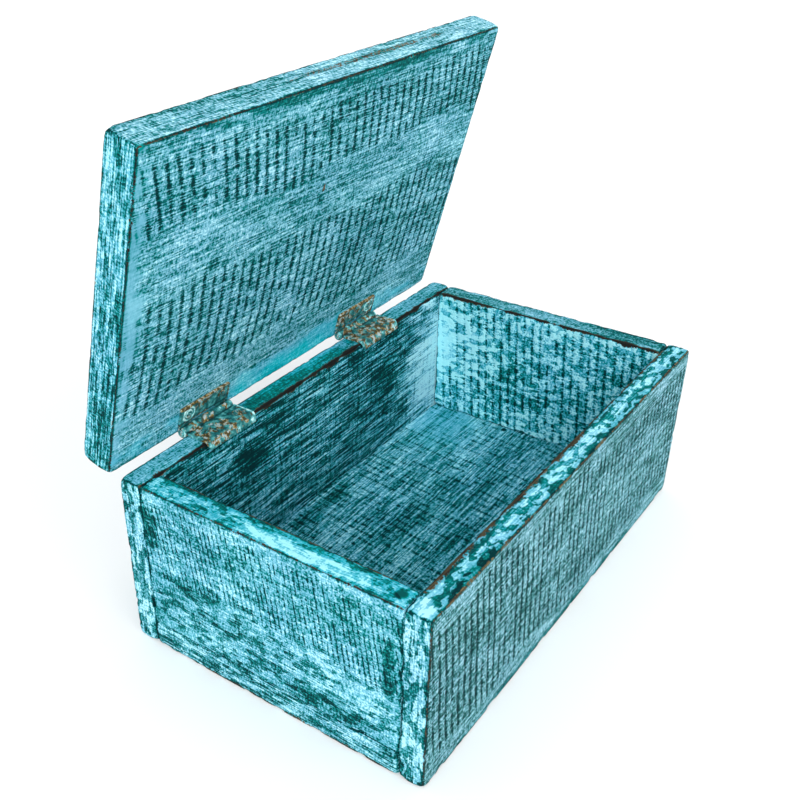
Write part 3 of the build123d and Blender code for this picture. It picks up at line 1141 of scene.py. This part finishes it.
def makePin(name, hingeX, values, length):
    reach = length / 2 + values["clear"]
    end, big, small = reach + values["head"], values["headRadius"], values["radius"]
    soft = 0.2 * mm
    half = [(0.35 * big, -end), (big - 2 * soft, -end), (big - 0.6 * soft, -end + 0.5 * soft)]
    half += [(big, -end + 1.4 * soft), (big, -reach - 0.5 * soft)]
    half += [(big - 0.5 * soft, -reach), (small, -reach)]
    profile = half + [(small, z) for z in np.linspace(-reach, reach, 30)[1:-1]]
    profile += [(r, -z) for r, z in half[::-1]]
    points, faces = turnedShell(profile)
    ends = smooth(np.abs(points[:, 2]), reach - 0.2 * mm, reach + 0.2 * mm)
    fields = {"rim": 0.3 * ends, "rust": values["rust"] + 0.4 * (cellNoise(points, 1.1, 70) - 0.5)}
    pin = meshObject(name, points, faces, fields)
    lying = Matrix.Rotation(math.pi / 2, 4, "Y")
    pin.matrix_world = chestTurn @ Matrix.Translation((hingeX, 0, 0)) @ lying
    pin.data.materials.append(hingeIron)
    return pin


for side, hingeX in hingeSetup["centres"].items():
    pin = makePin(side + "_hinge_pin_iron", hingeX, pinSetup, hingeSetup["length"])
    place(pin, "chest", "hinge_iron", side + "_hinge_pin")

screwSetup = {
    "head": 2.4 * mm,
    "rise": {"chest": 0.25 * mm, "lid": 0.4 * mm},
    "shank": 1.3 * mm,
    "length": 9.5 * mm,
    "slotWidth": 0.6 * mm,
    "slotDepth": 0.5 * mm,
    "slotTurn": {"left": (25, 70), "right": (110, 40)},  # degrees
}


# Screw with a raised head, its slot cut with a boolean; the head's seat is at height 0
def makeScrew(turn, rise, ring, values):
    head, shank, length = (values[key] for key in ("head", "shank", "length"))
    profile = [(0.02 * mm, -length), (0.7 * shank, -length + 1.4 * mm), (shank, -length + 2.5 * mm)]
    profile += [(shank, -3.5 * mm), (shank, -1.1 * mm)]
    profile += [(head - 0.1 * mm, -0.12 * mm), (head, 0.02 * mm)]
    profile += [(head * share, rise * math.sqrt(1 - share ** 3) * 0.85) for share in (0.97, 0.9, 0.8)]
    profile += [(head * share, rise * math.sqrt(1 - share ** 3)) for share in (0.68, 0.5, 0.3, 0.1)]
    points, faces = turnedShell(profile)
    body = meshObject("screwBlank", points, faces)
    width, depth = values["slotWidth"] / 2, values["slotDepth"]
    cutter = bpy.data.meshes.new("slotCutter")
    builder = bmesh.new()
    bmesh.ops.create_cube(builder, size=1.0)
    size = Matrix.Diagonal((2.4 * head, 2 * width, 2 * depth, 1))
    spin = Matrix.Rotation(math.radians(turn), 4, "Z")
    placed = Matrix.Translation((0, 0, rise)) @ spin @ size
    bmesh.ops.transform(builder, matrix=placed, verts=builder.verts)
    builder.to_mesh(cutter)
    builder.free()
    tool = addObject("slotCutter", cutter)
    cut = body.modifiers.new("slot", "BOOLEAN")
    cut.operation, cut.solver, cut.object = "DIFFERENCE", "EXACT", tool
    bpy.context.view_layer.update()
    made = body.evaluated_get(bpy.context.evaluated_depsgraph_get()).to_mesh()
    points = np.array([v.co for v in made.vertices])
    faces = [list(f.vertices) for f in made.polygons]
    for used in (body, tool):
        bpy.data.objects.remove(used)
    reach = np.hypot(points[:, 0], points[:, 1])
    # Light rim on the chosen screw heads: light paint and a painted highlight.
    rim = ring * smooth(reach, 0.62 * head, 0.8 * head) * smooth(points[:, 2], -0.3 * mm, 0)
    rust = 0.45 + 0.25 * (1 - ring) * smooth(reach, 0.5 * head, head)
    return points, faces, {"rim": rim, "rust": rust}


for side, hingeX in hingeSetup["centres"].items():
    for kindName, kind in leafKinds.items():
        shells = []
        for turn, ring, step in zip(screwSetup["slotTurn"][side], kind["rings"][side], (-1, 1)):
            points, faces, fields = makeScrew(turn, screwSetup["rise"][kindName], ring, screwSetup)
            points[:, 2] *= kind["outer"]
            if kind["outer"] < 0:
                faces = [face[::-1] for face in faces]
            seat = kind["high"] if kind["outer"] > 0 else kind["low"]
            points += [hingeX + step * hingeSetup["screwSpread"], -kind["screwReach"], seat]
            shells.append((points, faces, fields))
        nodeName = side + "_" + kindName + "_leaf_screws"
        screws = meshObject(nodeName + "_iron", *joinShells(shells), smoothShade=False)
        screws.matrix_world = kind["turn"]
        screws.data.materials.append(screwIron)
        place(screws, kind["body"], "screw_iron", nodeName)
print("pins and screws made")

nailSetup = {
    "radius": 0.9 * mm,
    "head": 1.5 * mm,
    "headThickness": 0.8 * mm,
    "length": 31 * mm,
    "sunk": 0.9 * mm,  # punched below the face and filled over
    "cornerX": 120.8 * mm,
    "cornerHeights": [height * mm for height in (26, 48, 70)],
    "bottomPlaces": [place * mm for place in (-90, -30, 30, 90)],
    "bottomHeight": 6.4 * mm,
    "face": 77 * mm,
}


def makeNails(name, places, side, values):
    head, shank, thick = values["head"], values["radius"], values["headThickness"]
    length = values["length"]
    profile = [(0.02 * mm, -length), (shank, 2.5 * mm - length), (shank, -thick - 0.3 * mm)]
    profile += [(head * 0.8, -thick), (head, -0.8 * thick), (head, -0.2 * thick)]
    profile += [(head * 0.93, -0.03 * thick), (head * 0.6, 0.0), (head * 0.2, -0.04 * thick)]
    shells = []
    for x, z in places:
        points, faces = turnedShell(profile, 24)
        reach = np.hypot(points[:, 0], points[:, 1])
        fields = {"rim": np.zeros(len(points)), "rust": 0.5 + 0.4 * smooth(reach, 0, head)}
        turned = np.stack([points[:, 0], -points[:, 2], points[:, 1]], -1)
        if side > 0:
            turned = turned * [-1, -1, 1]
        turned += [x, side * (values["face"] - values["sunk"]), z]
        shells.append((turned, faces, fields))
    nails = meshObject(name, *joinShells(shells))
    nails.data.materials.append(nailIron)
    return nails


for word, side in (("front", -1), ("rear", 1)):
    rows = {"bottom": [(x, nailSetup["bottomHeight"]) for x in nailSetup["bottomPlaces"]]}
    for corner, end in (("left_corner", -1), ("right_corner", 1)):
        rows[corner] = [(end * nailSetup["cornerX"], height) for height in nailSetup["cornerHeights"]]
    for rowName, places in rows.items():
        nodeName = word + "_" + rowName + "_nails"
        nails = makeNails(nodeName + "_iron", places, side, nailSetup)
        place(nails, "chest", "nail_iron", nodeName)
print("nails made")


floorSetup = {
    "size": 6.0,
    "shade": (0.93, 0.94, 0.95),
    "mottle": 0.985,  # how dark the darkest parts are against the rest
    "mottleScale": 6.0,
    "roughness": 0.9,
}


def makeFloor(values):
    half = values["size"] / 2
    corners = [(-half, -half, 0), (half, -half, 0), (half, half, 0), (-half, half, 0)]
    floor = meshObject("floor", corners, [(0, 1, 2, 3)])
    material = bpy.data.materials.new("paleFloor")
    material.use_nodes = True
    tree = material.node_tree
    shader = tree.nodes["Principled BSDF"]
    coords = addNode(tree, "ShaderNodeTexCoord").outputs["Object"]
    mottle = noiseField(tree, coords, values["mottleScale"])
    darker = tuple(values["mottle"] * shade for shade in values["shade"])
    pale = blendColour(tree, mottle, values["shade"], darker)
    tree.links.new(pale, shader.inputs["Base Color"])
    shader.inputs["Roughness"].default_value = values["roughness"]
    floor.data.materials.append(material)


makeFloor(floorSetup)
